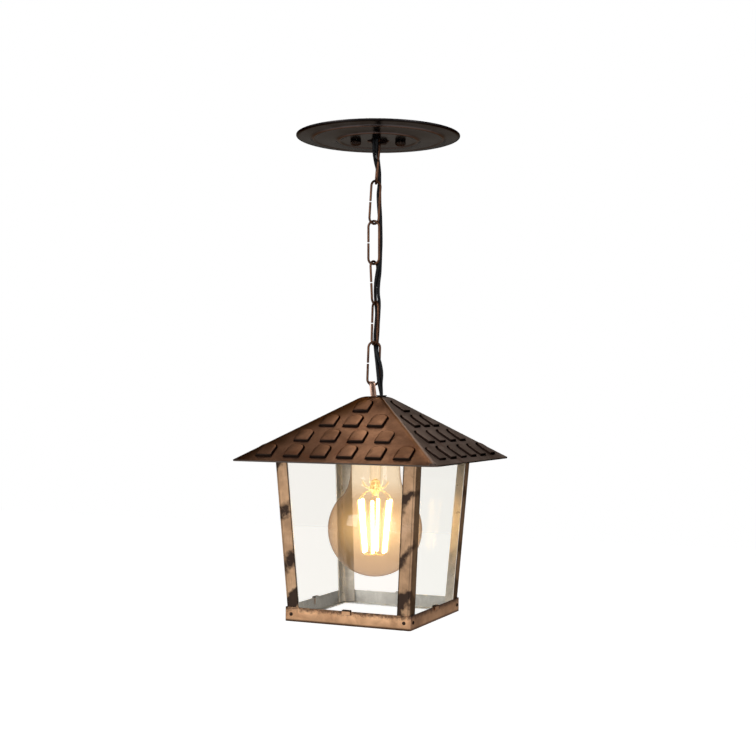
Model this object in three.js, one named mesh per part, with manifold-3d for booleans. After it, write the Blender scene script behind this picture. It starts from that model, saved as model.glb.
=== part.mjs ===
// Hanging lantern: a copper-plated sheet lantern with four glass panes and a tiled pyramid roof,
// hung by a strap from six open chain links under a round ceiling canopy, with two leads woven
// through the chain to an E27 lampholder and a clear filament bulb.
// Millimetres, +Z up. The origin is the centre of the bracket's top face, against the ceiling.
import * as THREE from 'three';
import { mergeVertices } from 'three/addons/utils/BufferGeometryUtils.js';
import Module from 'manifold-3d';

const wasm = await Module();
wasm.setup();

// Driving dimensions
const GAP = 0.3; // clearance kept between touching pieces
const hangTurn = THREE.MathUtils.degToRad(23.7); // canopy and chain are turned this far

const canopy = { radius: 62.5, hole: 8, underside: -4, upperside: -3.2, fixing: 17 };
const bracket = { halfLength: 41, halfWidth: 20, thick: 1.5, slotAt: 34, slotHalf: 4.5, slotRadius: 2.3 };
const terminal = { size: [15, 11, 11], centre: [-1.7, -14.5, 3.7] };
const stud = { radius: 2, top: -0.2, bottom: -6.6 };
const nut = { radius: 4.2, top: -4.3, bottom: -7.6, boreEnd: -6.9 };

const wire = 0.9; // chain wire radius
const link = { bend: 4.4, hang: wire + GAP / 2, buttGap: 1.3, count: 6 };
const chainTop = -4.8;
const chainBottom = -189.2;
// sideways place of each contact between links, and the twist of each link about its length
const contactX = [1, -1.2, -2.8, -2.6, -1, -1.6, -2.4];
const linkTwist = [95, 38, -22, 55, -61, 3].map(THREE.MathUtils.degToRad);

const roof = { halfEave: 80, halfTop: 8, top: -198.8, eave: -245.8, sheet: 0.9 };
const tile = { width: 12.5, height: 15.5, lip: 1, rows: [1, 3, 4, 6] };
tile.pitch = [0, 19.3, 21.6, 21.6];
tile.firstRow = 13.6; // down the slope from the flat top to the first row's centre
tile.rowStep = 19.8;

const post = { flange: 10, sheet: 1, top: -232.8, bottom: -363.9 };
const lean = (56.3 - 49.1) / (354.6 - 245.7); // how far the posts draw in for each millimetre down
const postHalf = (z) => 56.3 + (z + 245.7) * lean; // outer half side of the posts at a height
const base = { half: 50.1, top: -354.6, bottom: -365.2, sheet: 0.9, opening: 45.1 };
const pane = { thick: 2, top: -240.7, bottom: base.bottom + base.sheet + GAP };
const rivetAt = 45;
const rivetZ = -359.8;

const neckTop = -241.1;
const bulbCentre = -299.5;
const bulbRadius = 35.8;
const leadRadius = 1.2;
const strapBand = { width: 4.4, thick: 1, bend: 1.9 }; // bend is its inner radius over the link's wire
const grommetX = 4.2;
const grommetY = -1;

const colours = {
  copper: [0x6b4a38, 0.42, 0.85],
  darkCopper: [0x3d2d26, 0.45, 0.8],
  bronze: [0x45403d, 0.3, 0.85],
  steel: [0x8a8c88, 0.45, 0.9],
  brass: [0xb08d4f, 0.35, 0.9],
  black: [0x141414, 0.5, 0],
  ceramic: [0xe8e4da, 0.4, 0],
  bakelite: [0x1c1714, 0.4, 0],
  glass: [0xf2f4f2, 0.05, 0],
  amber: [0xe0b070, 0.05, 0],
  filament: [0xffd890, 0.5, 0],
};

const group = new THREE.Group();
const hanger = new THREE.Group(); // canopy, chain and strap, turned against the lantern
hanger.rotation.z = hangTurn;
group.add(hanger);

function addMesh(parent, name, geometry, colourName) {
  const [color, roughness, metalness] = colours[colourName];
  const material = new THREE.MeshStandardMaterial({ color, roughness, metalness });
  const mesh = new THREE.Mesh(geometry, material);
  mesh.name = name;
  parent.add(mesh);
  return mesh;
}

// Geometry helpers

function toSolid(geometry) {
  const bare = geometry.clone();
  bare.deleteAttribute('normal');
  bare.deleteAttribute('uv');
  const welded = mergeVertices(bare, 1e-4);
  const mesh = new wasm.Mesh({
    numProp: 3,
    vertProperties: new Float32Array(welded.attributes.position.array),
    triVerts: new Uint32Array(welded.index.array),
  });
  return new wasm.Manifold(mesh);
}

function toGeometry(solid) {
  const mesh = solid.getMesh();
  const geometry = new THREE.BufferGeometry();
  geometry.setAttribute('position', new THREE.BufferAttribute(mesh.vertProperties, 3));
  geometry.setIndex(new THREE.BufferAttribute(mesh.triVerts, 1));
  geometry.computeVertexNormals();
  return geometry;
}

function cut(body, tools) {
  return toGeometry(tools.reduce((solid, tool) => solid.subtract(toSolid(tool)), toSolid(body)));
}

function join(body, extras) {
  return toGeometry(extras.reduce((solid, extra) => solid.add(toSolid(extra)), toSolid(body)));
}

// A turned body about Z from [radius, z] points; four sides give a square body with flat faces.
function turned(points, sides = 32) {
  const square = sides === 4;
  const grow = square ? Math.SQRT2 : 1;
  const profile = points.map(([r, z]) => new THREE.Vector2(r * grow, z));
  const geometry = new THREE.LatheGeometry(profile, sides, square ? Math.PI / 4 : 0);
  geometry.rotateX(Math.PI / 2);
  return geometry;
}

// A turned profile is listed upwards on its outside, so that the faces point out.
const solidTurned = (points, sides) => turned([[0, points[0][1]], ...points, [0, points.at(-1)[1]]], sides);
const ringTurned = (points, sides) => turned([...points, points[0]], sides);

function cylinder(radius, bottom, top, x = 0, y = 0, sides = 16) {
  const geometry = new THREE.CylinderGeometry(radius, radius, top - bottom, sides);
  geometry.rotateX(Math.PI / 2);
  geometry.translate(x, y, (top + bottom) / 2);
  return geometry;
}

function boxAt(sizeX, sizeY, sizeZ, x, y, z) {
  const geometry = new THREE.BoxGeometry(sizeX, sizeY, sizeZ);
  geometry.translate(x, y, z);
  return geometry;
}

function shapeFrom(points) {
  return new THREE.Shape(points.map(([x, y]) => new THREE.Vector2(x, y)));
}

// A flat outline in X and Z pushed along Y, centred on Y = 0.
function bentStrip(points, width) {
  const geometry = new THREE.ExtrudeGeometry(shapeFrom(points), { depth: width, bevelEnabled: false });
  geometry.rotateX(Math.PI / 2);
  geometry.translate(0, width / 2, 0);
  return geometry;
}

// A closed body through two outlines of the same number of points, the lower one first.
function loft(lower, upper) {
  const count = lower.length;
  const flat = lower.map(([x, y]) => new THREE.Vector2(x, y));
  const positions = [...lower, ...upper].flat();
  const index = [];
  for (let i = 0; i < count; i++) {
    const next = (i + 1) % count;
    index.push(i, next, count + next, i, count + next, count + i);
  }
  for (const [a, b, c] of THREE.ShapeUtils.triangulateShape(flat, [])) {
    index.push(a, c, b, count + a, count + b, count + c);
  }
  const geometry = new THREE.BufferGeometry();
  geometry.setAttribute('position', new THREE.Float32BufferAttribute(positions, 3));
  geometry.setIndex(index);
  geometry.computeVertexNormals();
  return geometry;
}

function tube(points, radius, steps, sides = 8) {
  const path = new THREE.CatmullRomCurve3(points.map((p) => new THREE.Vector3(...p)));
  return tubeAlong(path, radius, steps, sides);
}

function tubeAlong(path, radius, steps, sides = 8) {
  const section = new THREE.Shape();
  for (let i = 0; i < sides; i++) {
    const angle = (2 * Math.PI * i) / sides;
    const point = [radius * Math.cos(angle), radius * Math.sin(angle)];
    if (i === 0) section.moveTo(...point);
    else section.lineTo(...point);
  }
  section.closePath();
  return new THREE.ExtrudeGeometry(section, { steps, bevelEnabled: false, extrudePath: path });
}

// Canopy and bracket

function bracketGeometry() {
  const { halfLength: l, halfWidth: w } = bracket;
  const around = { left: -9.7, right: 6.3, depth: -8.6 }; // notch round the terminal block
  const notch = { left: -5, right: 1.5, depth: -1.3 }; // where the leads pass up
  const outline = shapeFrom([
    [-l, -w], [around.left, -w], [around.left, around.depth], [notch.left, around.depth],
    [notch.left, notch.depth], [notch.right, notch.depth], [notch.right, around.depth],
    [around.right, around.depth], [around.right, -w], [l, -w], [l, w], [-l, w],
  ]);
  for (const side of [-1, 1]) {
    const slot = new THREE.Path();
    const reach = bracket.slotHalf - bracket.slotRadius;
    slot.absarc(side * bracket.slotAt + reach, 0, bracket.slotRadius, -Math.PI / 2, Math.PI / 2);
    slot.absarc(side * bracket.slotAt - reach, 0, bracket.slotRadius, Math.PI / 2, 1.5 * Math.PI);
    slot.closePath();
    const screwHole = new THREE.Path();
    screwHole.absarc(side * canopy.fixing, 0, stud.radius + GAP, 0, 2 * Math.PI);
    outline.holes.push(slot, screwHole);
  }
  const geometry = new THREE.ExtrudeGeometry(outline, {
    depth: bracket.thick, bevelEnabled: false, curveSegments: 6,
  });
  geometry.translate(0, 0, -bracket.thick);
  return geometry;
}

function canopyGeometry() {
  const c = canopy;
  const under = [
    [c.hole, c.underside], [28.4, c.underside], [30.2, -4.5], [32.4, -3.6],
    [47.8, -2.9], [49.6, -3.3], [51.6, -2.3], [61.4, -1.6], [c.radius, -0.9], [c.radius, 0],
  ];
  const upper = [
    [61.6, 0], [61.2, -0.8], [51.4, -1.5], [49.6, -2.4], [47.6, -2.1],
    [32.2, -2.8], [30.2, -3.7], [28.6, c.upperside], [c.hole, c.upperside],
  ];
  const disc = ringTurned([...under, ...upper], 36);
  const holes = [-1, 1].map((side) => cylinder(stud.radius + GAP, -6, 1, side * c.fixing, 0, 12));
  return cut(disc, holes);
}

function nutGeometry() {
  const bore = stud.radius + GAP;
  return turned([
    [0, nut.bottom], [2.2, nut.bottom], [3.6, nut.bottom + 0.8], [nut.radius, nut.bottom + 1.8],
    [nut.radius, nut.top], [bore, nut.top], [bore, nut.boreEnd], [0, nut.boreEnd],
  ], 12);
}

function anchorGeometry() {
  const x = contactX[0];
  const z = chainTop - link.hang;
  const top = -bracket.thick - GAP;
  const reach = 5.4;
  const corner = 1.6;
  const points = [
    [x - reach, 0, top], [x - reach, 0, z + corner], [x - reach + corner, 0, z],
    [x + reach - corner, 0, z], [x + reach, 0, z + corner], [x + reach, 0, top],
  ].map((p) => new THREE.Vector3(...p));
  return sweptPolyline(points, wire, 8);
}

// A round bar along straight runs, with mitred corners, all in the plane Y = 0.
function sweptPolyline(points, radius, sides) {
  const rings = points.map((point, i) => {
    const before = points[Math.max(i - 1, 0)];
    const after = points[Math.min(i + 1, points.length - 1)];
    const along = new THREE.Vector3().subVectors(after, before).normalize();
    const out = new THREE.Vector3(along.z, 0, -along.x);
    const first = i > 0 ? new THREE.Vector3().subVectors(point, before).normalize() : along;
    const stretch = 1 / Math.max(first.dot(along), 0.5);
    return Array.from({ length: sides }, (_, k) => {
      const angle = (2 * Math.PI * k) / sides;
      const sideways = radius * stretch * Math.cos(angle);
      return [point.x + out.x * sideways, radius * Math.sin(angle), point.z + out.z * sideways];
    });
  });
  return ringsToBody(rings);
}

// A closed body through a row of rings of points, capped at both ends.
function ringsToBody(rings) {
  const sides = rings[0].length;
  const index = [];
  for (let r = 0; r < rings.length - 1; r++) {
    for (let k = 0; k < sides; k++) {
      const next = (k + 1) % sides;
      const [a, b] = [r * sides + k, r * sides + next];
      index.push(a, b, b + sides, a, b + sides, a + sides);
    }
  }
  const last = (rings.length - 1) * sides;
  for (let k = 1; k < sides - 1; k++) {
    index.push(0, k + 1, k, last, last + k, last + k + 1);
  }
  const geometry = new THREE.BufferGeometry();
  geometry.setAttribute('position', new THREE.Float32BufferAttribute(rings.flat(2), 3));
  geometry.setIndex(index);
  geometry.computeVertexNormals();
  return geometry;
}

function terminalGeometry() {
  const block = boxAt(...terminal.size, ...terminal.centre);
  const bore = leadRadius + GAP;
  const boreDepth = 6;
  const wireHoles = Object.values(leadRoutes).map(([[x, , z]]) => {
    const hole = new THREE.CylinderGeometry(bore, bore, boreDepth, 12);
    hole.translate(x, -10, z);
    return hole;
  });
  return cut(block, wireHoles);
}

function buildCanopy() {
  addMesh(hanger, 'mounting_bracket', bracketGeometry(), 'steel');
  addMesh(hanger, 'canopy_plate', canopyGeometry(), 'bronze');
  addMesh(hanger, 'chain_anchor', anchorGeometry(), 'darkCopper');
  addMesh(hanger, 'terminal_block', terminalGeometry(), 'ceramic');
  for (const side of [-1, 1]) {
    const word = side < 0 ? 'left' : 'right';
    const screw = cylinder(stud.radius, stud.bottom, stud.top, 0, 0, 12);
    addMesh(hanger, `canopy_stud_${word}`, screw, 'steel').position.x = side * canopy.fixing;
    addMesh(hanger, `canopy_nut_${word}`, nutGeometry(), 'darkCopper').position.x = side * canopy.fixing;
  }
}

// Chain and strap

// An open link in its own XZ plane, its butt gap halfway up the left leg.
function linkGeometry(contactDistance) {
  const straight = contactDistance / 2 + link.hang - link.bend;
  const centres = [];
  const arcSteps = 7;
  centres.push([-link.bend, link.buttGap / 2]);
  for (let i = 0; i <= arcSteps; i++) {
    const angle = Math.PI * (1 - i / arcSteps);
    centres.push([link.bend * Math.cos(angle), straight + link.bend * Math.sin(angle)]);
  }
  for (let i = 0; i <= arcSteps; i++) {
    const angle = (-Math.PI * i) / arcSteps;
    centres.push([link.bend * Math.cos(angle), -straight + link.bend * Math.sin(angle)]);
  }
  centres.push([-link.bend, -link.buttGap / 2]);
  return sweptPolyline(centres.map(([x, z]) => new THREE.Vector3(x, 0, z)), wire, 8);
}

function contactPoint(i) {
  const z = chainTop + ((chainBottom - chainTop) * i) / link.count;
  return new THREE.Vector3(contactX[i], 0, z);
}

function buildChain() {
  for (let i = 0; i < link.count; i++) {
    const top = contactPoint(i);
    const bottom = contactPoint(i + 1);
    const holder = new THREE.Group();
    holder.position.addVectors(top, bottom).multiplyScalar(0.5);
    holder.rotation.y = Math.atan2(top.x - bottom.x, top.z - bottom.z);
    const mesh = addMesh(holder, `chain_link_${i + 1}`, linkGeometry(top.distanceTo(bottom)), 'darkCopper');
    mesh.rotation.z = linkTwist[i];
    hanger.add(holder);
  }
}

// The strap's band, bent over the last link's bottom wire, with both ends turned out under the roof.
function strapGeometry() {
  const { width, thick, bend: inner } = strapBand;
  const wireZ = chainBottom - link.hang;
  const under = roof.top - roof.sheet - GAP - wireZ;
  const foot = 4.2;
  const outside = [];
  const inside = [];
  const steps = 6;
  for (let i = 0; i <= steps; i++) {
    const angle = Math.PI * (1 - i / steps);
    outside.push([(inner + thick) * Math.cos(angle), (inner + thick) * Math.sin(angle)]);
    inside.unshift([inner * Math.cos(angle), inner * Math.sin(angle)]);
  }
  const outline = [
    [-inner - foot, under - thick], [-inner - foot, under], [-inner - thick, under], ...outside,
    [inner + thick, under], [inner + foot, under], [inner + foot, under - thick],
    [inner, under - thick], ...inside, [-inner, under - thick],
  ];
  return bentStrip(outline, width).rotateZ(Math.PI / 2);
}

function buildStrap() {
  const bottomWire = contactPoint(link.count);
  const strap = addMesh(hanger, 'hanger_strap', strapGeometry(), 'copper');
  strap.position.set(bottomWire.x, 0, bottomWire.z - link.hang);
}

// Leads, one list of places for each, in the hanger's frame

const leadRoutes = {
  lead_live: [
    [-2.9, -8.7, 4.2], [-2.9, -6, 3.6], [-2.9, -3.9, 1.6], [-2.9, -2.9, -1.4], [-3.1, -2.6, -4.8],
    [-3.1, -1.5, -12.5], [-1.9, -0.3, -20.2], [0.1, 1.7, -27.8], [1, 4.4, -35.5], [0.3, 5.4, -43.2],
    [0.5, 5.3, -50.9], [1.1, 5.3, -58.6], [1.7, 4.7, -66.3], [2.2, 3, -73.9], [2.5, 1.6, -81.6],
    [2.2, 1.2, -89.3], [1.2, 1.1, -97], [-0.1, 1, -104.7], [-1.1, 1.7, -112.4], [-1.3, 3.3, -120],
    [-0.8, 4.5, -127.7], [-0.2, 4.3, -135.4], [-0.6, 4.4, -143.1], [-1.2, 4.9, -150.8],
    [-1.2, 4.4, -158.5], [-0.5, 2, -166.2], [0.4, -0.6, -173.8], [1.2, -2.2, -181.5],
    [2.1, -3, -189.2], [3.2, -2.9, -194], [3.9, -2.4, -197.6], [3.9, -2.3, -200.2], [3.1, -1.9, -201.8],
    [2, -1.5, -202.8],
  ],
  lead_neutral: [
    [-0.4, -8.7, 1.9], [-0.5, -6.8, 1.4], [-0.6, -5.3, -0.2], [-0.8, -4.4, -2.5], [-1.1, -4, -4.8],
    [-0.7, -2.3, -12.5], [0.5, 0.6, -20.2], [1.4, 4.1, -27.8], [1.5, 7, -35.5], [1.6, 7.6, -43.2],
    [1.8, 7.5, -50.9], [2.3, 7.6, -58.6], [2.6, 7, -66.3], [2.8, 5.5, -73.9], [2.9, 4.2, -81.6],
    [2.7, 3.6, -89.3], [2.5, 3.2, -97], [2.2, 2, -104.7], [1.4, 1, -112.4], [1.1, 0.3, -120],
    [1.9, -0.1, -127.7], [1.7, 0.9, -135.4], [1.3, 2.6, -143.1], [1, 3.6, -150.8], [0.5, 2.6, -158.5],
    [0.6, -0.9, -166.2], [3, -2.6, -173.8], [4.2, -2.3, -181.5], [3.8, -1.2, -189.2],
    [4, -0.2, -194], [4.1, 0.3, -197.6], [4, 0.3, -200.2], [3.2, 0.6, -201.8], [2, 1, -202.8],
  ],
};

function buildLeads() {
  for (const [name, points] of Object.entries(leadRoutes)) {
    addMesh(hanger, name, tube(points, leadRadius, 60), 'black');
  }
  const ring = ringTurned([[2.75, -200], [3.2, -200], [3.2, -198.3], [2.75, -198.3]], 16);
  addMesh(hanger, 'lead_grommet', ring, 'black').position.set(grommetX, grommetY, 0);
}

// Roof

// One raised tongue, square at its lower lip and round at its top, fading into the sheet upwards.
function tileGeometry() {
  const { width: w, height: h, lip } = tile;
  const shape = new THREE.Shape();
  shape.moveTo(-w / 2, -h / 2);
  shape.lineTo(w / 2, -h / 2);
  shape.lineTo(w / 2, h / 2 - w * 0.42);
  shape.absellipse(0, h / 2 - w * 0.42, w / 2, w * 0.42, 0, Math.PI);
  shape.closePath();
  const sunk = 0.5;
  const geometry = new THREE.ExtrudeGeometry(shape, {
    depth: sunk + lip, bevelEnabled: false, curveSegments: 3,
  });
  geometry.translate(0, 0, -sunk);
  const position = geometry.attributes.position;
  for (let i = 0; i < position.count; i++) {
    if (position.getZ(i) <= 0) continue;
    const rise = lip * (0.62 - (0.38 * position.getY(i)) / (h / 2));
    position.setZ(i, rise);
  }
  return geometry;
}

function roofGeometry() {
  const r = roof;
  const run = r.halfEave - r.halfTop;
  const fall = r.top - r.eave;
  const slope = Math.atan2(fall, run);
  const drop = r.sheet / Math.cos(slope);
  const shell = turned([
    [0, r.top - r.sheet], [r.halfTop - 0.2, r.top - r.sheet], [r.halfEave - 0.4, r.eave - drop + 0.45],
    [r.halfEave, r.eave], [r.halfTop, r.top], [0, r.top],
  ], 4);
  const tiles = [];
  for (let side = 0; side < 4; side++) {
    tile.rows.forEach((count, row) => {
      for (let k = 0; k < count; k++) {
        const down = tile.firstRow + row * tile.rowStep;
        const piece = tileGeometry();
        piece.rotateX(slope);
        const across = (k - (count - 1) / 2) * tile.pitch[row];
        const out = r.halfTop + down * Math.cos(slope);
        piece.translate(across, -out, r.top - down * Math.sin(slope));
        piece.rotateZ((side * Math.PI) / 2);
        tiles.push(piece);
      }
    });
  }
  const { width, thick, bend } = strapBand;
  const slot = boxAt(width + 2 * GAP, 2 * (bend + thick + GAP), 4, contactX[link.count], 0, r.top);
  slot.rotateZ(hangTurn);
  const leadHole = cylinder(3.45, r.top - 3, r.top + 3, grommetX, grommetY, 16);
  leadHole.rotateZ(hangTurn);
  return cut(join(shell, tiles), [slot, leadHole]);
}

function buildRoof() {
  addMesh(group, 'roof', roofGeometry(), 'copper');
}

// Body: posts, frames, panes, clips and rivets

// Two rivets go through each face of the band and the post behind it.
function rivetPlaces() {
  const places = [];
  for (let side = 0; side < 4; side++) {
    for (const end of [-1, 1]) places.push({ turn: (side * Math.PI) / 2, across: end * rivetAt });
  }
  return places;
}

function rivetHole({ turn, across }) {
  const hole = new THREE.CylinderGeometry(0.9 + GAP, 0.9 + GAP, 8, 8);
  hole.translate(across, -base.half, rivetZ);
  hole.rotateZ(turn);
  return hole;
}

function postGeometry() {
  const outline = (z) => {
    const h = postHalf(z);
    const [f, s] = [h - post.flange, h - post.sheet];
    return [[-h, -h, z], [-f, -h, z], [-f, -s, z], [-s, -s, z], [-s, -f, z], [-h, -f, z]];
  };
  return loft(outline(post.bottom), outline(post.top));
}

function baseGeometry() {
  const b = base;
  return ringTurned([
    [b.opening, b.bottom], [b.half, b.bottom], [b.half, b.top], [b.half - b.sheet, b.top],
    [b.half - b.sheet, b.bottom + b.sheet], [b.opening, b.bottom + b.sheet],
  ], 4);
}

function topFrameGeometry() {
  const outer = (z) => postHalf(z) - post.sheet - GAP;
  const [high, low] = [-233.6, -240];
  return ringTurned([
    [outer(low) - 1, low], [outer(low), low], [outer(high), high], [outer(high) - 9, high],
    [outer(high) - 9, high - 1], [outer(high) - 1, high - 1],
  ], 4);
}

function paneGeometry() {
  const outline = (z) => {
    const out = postHalf(z) - post.sheet - GAP;
    const side = out - pane.thick - 0.4;
    const inside = out - pane.thick;
    return [[-side, -out, z], [side, -out, z], [side, -inside, z], [-side, -inside, z]];
  };
  return loft(outline(pane.bottom), outline(pane.top));
}

// A thin tab folded over the band's upper edge to hold the pane.
function clipGeometry() {
  const [outer, inner, thick] = [-base.half - GAP, -base.half + base.sheet + GAP, 0.6];
  const [outerFoot, innerFoot, crest] = [base.top - 2.4, base.top - 5, base.top + GAP];
  const outline = [
    [outer - thick, outerFoot], [outer, outerFoot], [outer, crest], [inner, crest],
    [inner, innerFoot], [inner + thick, innerFoot], [inner + thick, crest + thick],
    [outer - thick, crest + thick],
  ];
  return bentStrip(outline, 6.5).rotateZ(Math.PI / 2);
}

function rivetGeometry({ turn, across }) {
  const out = base.half + GAP;
  const rivet = turned([[0, -2.75], [0.9, -2.75], [0.9, 0], [1.5, 0], [1.2, 0.5], [0.6, 0.7], [0, 0.7]], 10);
  rivet.rotateX(Math.PI / 2);
  rivet.translate(across, -out, rivetZ);
  rivet.rotateZ(turn);
  return rivet;
}

function buildBody() {
  const corners = ['front_left', 'front_right', 'back_right', 'back_left'];
  const sides = ['front', 'right', 'back', 'left'];
  const holes = rivetPlaces().map(rivetHole);
  for (let k = 0; k < 4; k++) {
    const turn = (k * Math.PI) / 2;
    const upright = cut(postGeometry().rotateZ(turn), holes);
    addMesh(group, `corner_post_${corners[k]}`, upright, 'copper');
    addMesh(group, `glass_pane_${sides[k]}`, paneGeometry(), 'glass').rotation.z = turn;
    addMesh(group, `glass_clip_${sides[k]}`, clipGeometry(), 'copper').rotation.z = turn;
  }
  addMesh(group, 'top_frame', topFrameGeometry(), 'copper');
  addMesh(group, 'base_frame', cut(baseGeometry(), holes), 'copper');
  rivetPlaces().forEach((place, i) => {
    addMesh(group, `base_rivet_${i + 1}`, rivetGeometry(place), 'darkCopper');
  });
}

// Lampholder, on a bent strap between two sides of the top frame

const nipple = { radius: 5, bore: 4, top: -202.9, bottom: -209.6 };
const holder = { radius: 19, inside: 15.6, bottom: -240, shoulder: -214.2, top: -206.7, wall: 2 };

function lampholderStrap() {
  const [crown, foot, knee, thick, width] = [-203.3, -231.8, 11, 1.5, 14];
  const [bend, end] = [46, 52]; // sideways reach of the strap's lower bends and of its ends
  const line = [[-end, foot], [-bend, foot], [-knee, crown], [knee, crown], [bend, foot], [end, foot]];
  const underside = line.map(([x, z]) => [x, z - thick]).reverse();
  const hole = cylinder(nipple.radius + GAP, -210, -200, 0, 0, 16);
  return cut(bentStrip([...line, ...underside], width), [hole]);
}

function holderGeometry() {
  const h = holder;
  const bore = nipple.radius + GAP;
  return ringTurned([
    [h.inside, h.bottom], [h.radius, h.bottom], [h.radius, h.shoulder], [16.2, -209.9], [11.2, h.top],
    [bore, h.top], [bore, h.top - h.wall], [9.6, h.top - h.wall], [14, -211.6], [h.inside, -214.8],
  ], 24);
}

function locknutGeometry() {
  const [radius, top, bottom] = [8, -205.1, -206.4];
  const bore = nipple.radius + GAP;
  const hexagon = ringTurned([[bore, bottom], [radius, bottom], [radius, top], [bore, top]], 6);
  return cut(hexagon, [cylinder(bore, -208, -203, 0, 0, 20)]);
}

function buildLampholder() {
  const { radius, bore, top, bottom } = nipple;
  addMesh(group, 'lampholder_bracket', lampholderStrap(), 'steel');
  const tube = ringTurned([[bore, bottom], [radius, bottom], [radius, top], [bore, top]], 20);
  addMesh(group, 'lampholder_nipple', tube, 'steel');
  addMesh(group, 'nipple_nut', locknutGeometry(), 'brass');
  addMesh(group, 'lampholder_body', holderGeometry(), 'bakelite');
  const insert = solidTurned([[12.4, -212.4], [12.4, -210.6], [9, -210.1]], 20);
  addMesh(group, 'lampholder_insert', insert, 'ceramic');
  addMesh(group, 'lampholder_contact', cylinder(4, -213.5, -212.7, 0, 0, 12), 'brass');
  addMesh(group, 'lampholder_sleeve', threadSleeve(), 'brass');
}

// The threaded shell, its rolled thread as rings
function threadSleeve() {
  const [radius, bottom, top, turns, thick, depth] = [14.4, -237.6, -216.4, 5, 0.6, 0.5];
  const outside = [];
  const inside = [];
  for (let i = 0; i <= 2 * turns; i++) {
    const z = bottom + ((top - bottom) * i) / (2 * turns);
    const swell = i % 2 ? depth : 0;
    outside.push([radius + swell, z]);
    inside.unshift([radius + swell - thick, z]);
  }
  return ringTurned([...outside, ...inside], 18);
}

// Bulb

function bulbProfile() {
  const shoulder = [[13.2, neckTop], [15, -242.2], [17.6, -244.6], [18.5, -248], [18.9, -255], [19.6, -262]];
  const flare = [[21.4, -268.4], [24.6, -274]];
  const ball = [];
  const steps = 9;
  const start = THREE.MathUtils.degToRad(40);
  for (let i = 0; i < steps; i++) {
    const angle = start - ((start + Math.PI / 2) * i) / steps;
    ball.push([bulbRadius * Math.cos(angle), bulbCentre + bulbRadius * Math.sin(angle)]);
  }
  return [...shoulder, ...flare, ...ball];
}

function bulbGlassGeometry() {
  const wall = 0.8;
  const outside = bulbProfile();
  const inside = outside.map(([r, z]) => (z > bulbCentre ? [r - wall, z] : shrink(r, z, wall)));
  const tip = bulbCentre - bulbRadius;
  return turned([[0, tip], ...outside.reverse(), ...inside, [0, tip + wall]], 24);
}

// A point of the ball moved towards its centre.
function shrink(r, z, wall) {
  const keep = (bulbRadius - wall) / bulbRadius;
  return [r * keep, bulbCentre + (z - bulbCentre) * keep];
}

function bulbCapGeometry() {
  const [skirt, radius, bottom, top] = [13.2, 12.6, -240.8, -219];
  const [turns, thick, depth, skirtHeight] = [5, 0.5, 0.4, 3];
  const threadStart = bottom + skirtHeight;
  const outside = [[skirt, bottom]];
  const inside = [[skirt - thick, bottom]];
  for (let i = 1; i <= 2 * turns; i++) {
    const z = threadStart + ((top - threadStart) * i) / (2 * turns);
    const swell = i % 2 ? depth : 0;
    outside.push([radius + swell, z]);
    inside.unshift([radius + swell - thick, z]);
  }
  return ringTurned([...outside, ...inside], 18);
}

function buildBulb() {
  addMesh(group, 'bulb_glass', bulbGlassGeometry(), 'amber');
  addMesh(group, 'bulb_cap', bulbCapGeometry(), 'brass');
  const insulator = solidTurned([[11.6, -218.7], [9.4, -217], [5.4, -215.5]], 20);
  addMesh(group, 'bulb_insulator', insulator, 'bakelite');
  const tip = solidTurned([[4.8, -215.2], [4.4, -214.4], [2.2, -213.8]], 12);
  addMesh(group, 'bulb_tip', tip, 'brass');
  const stem = solidTurned([
    [3, -268], [4.2, -262], [4.4, -250], [6, -244.6], [10.6, -241.2],
  ], 16);
  addMesh(group, 'bulb_stem', stem, 'glass');
  buildFilaments();
}

const filament = { count: 6, topRadius: 12.6, bottomRadius: 8.6, top: -277.5, bottom: -317, radius: 0.75 };
filament.first = THREE.MathUtils.degToRad(44); // direction of the first one from +X

function buildFilaments() {
  const f = filament;
  for (let i = 0; i < f.count; i++) {
    const angle = f.first + (i * 2 * Math.PI) / f.count;
    const [c, s] = [Math.cos(angle), Math.sin(angle)];
    const path = new THREE.LineCurve3(
      new THREE.Vector3(f.topRadius * c, f.topRadius * s, f.top),
      new THREE.Vector3(f.bottomRadius * c, f.bottomRadius * s, f.bottom),
    );
    addMesh(group, `filament_${i + 1}`, tubeAlong(path, f.radius, 1, 8), 'filament');
  }
  const rod = cylinder(1, -318, -268.4, 0, 0, 8);
  addMesh(group, 'filament_rod', rod, 'glass');
}

buildCanopy();
buildChain();
buildStrap();
buildLeads();
buildRoof();
buildBody();
buildLampholder();
buildBulb();

export default group;
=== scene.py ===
"""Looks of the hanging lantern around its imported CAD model. Row frame, metres, +Z up."""
import math
import random

import bmesh
import bpy
from mathutils import Matrix, Vector


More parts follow.
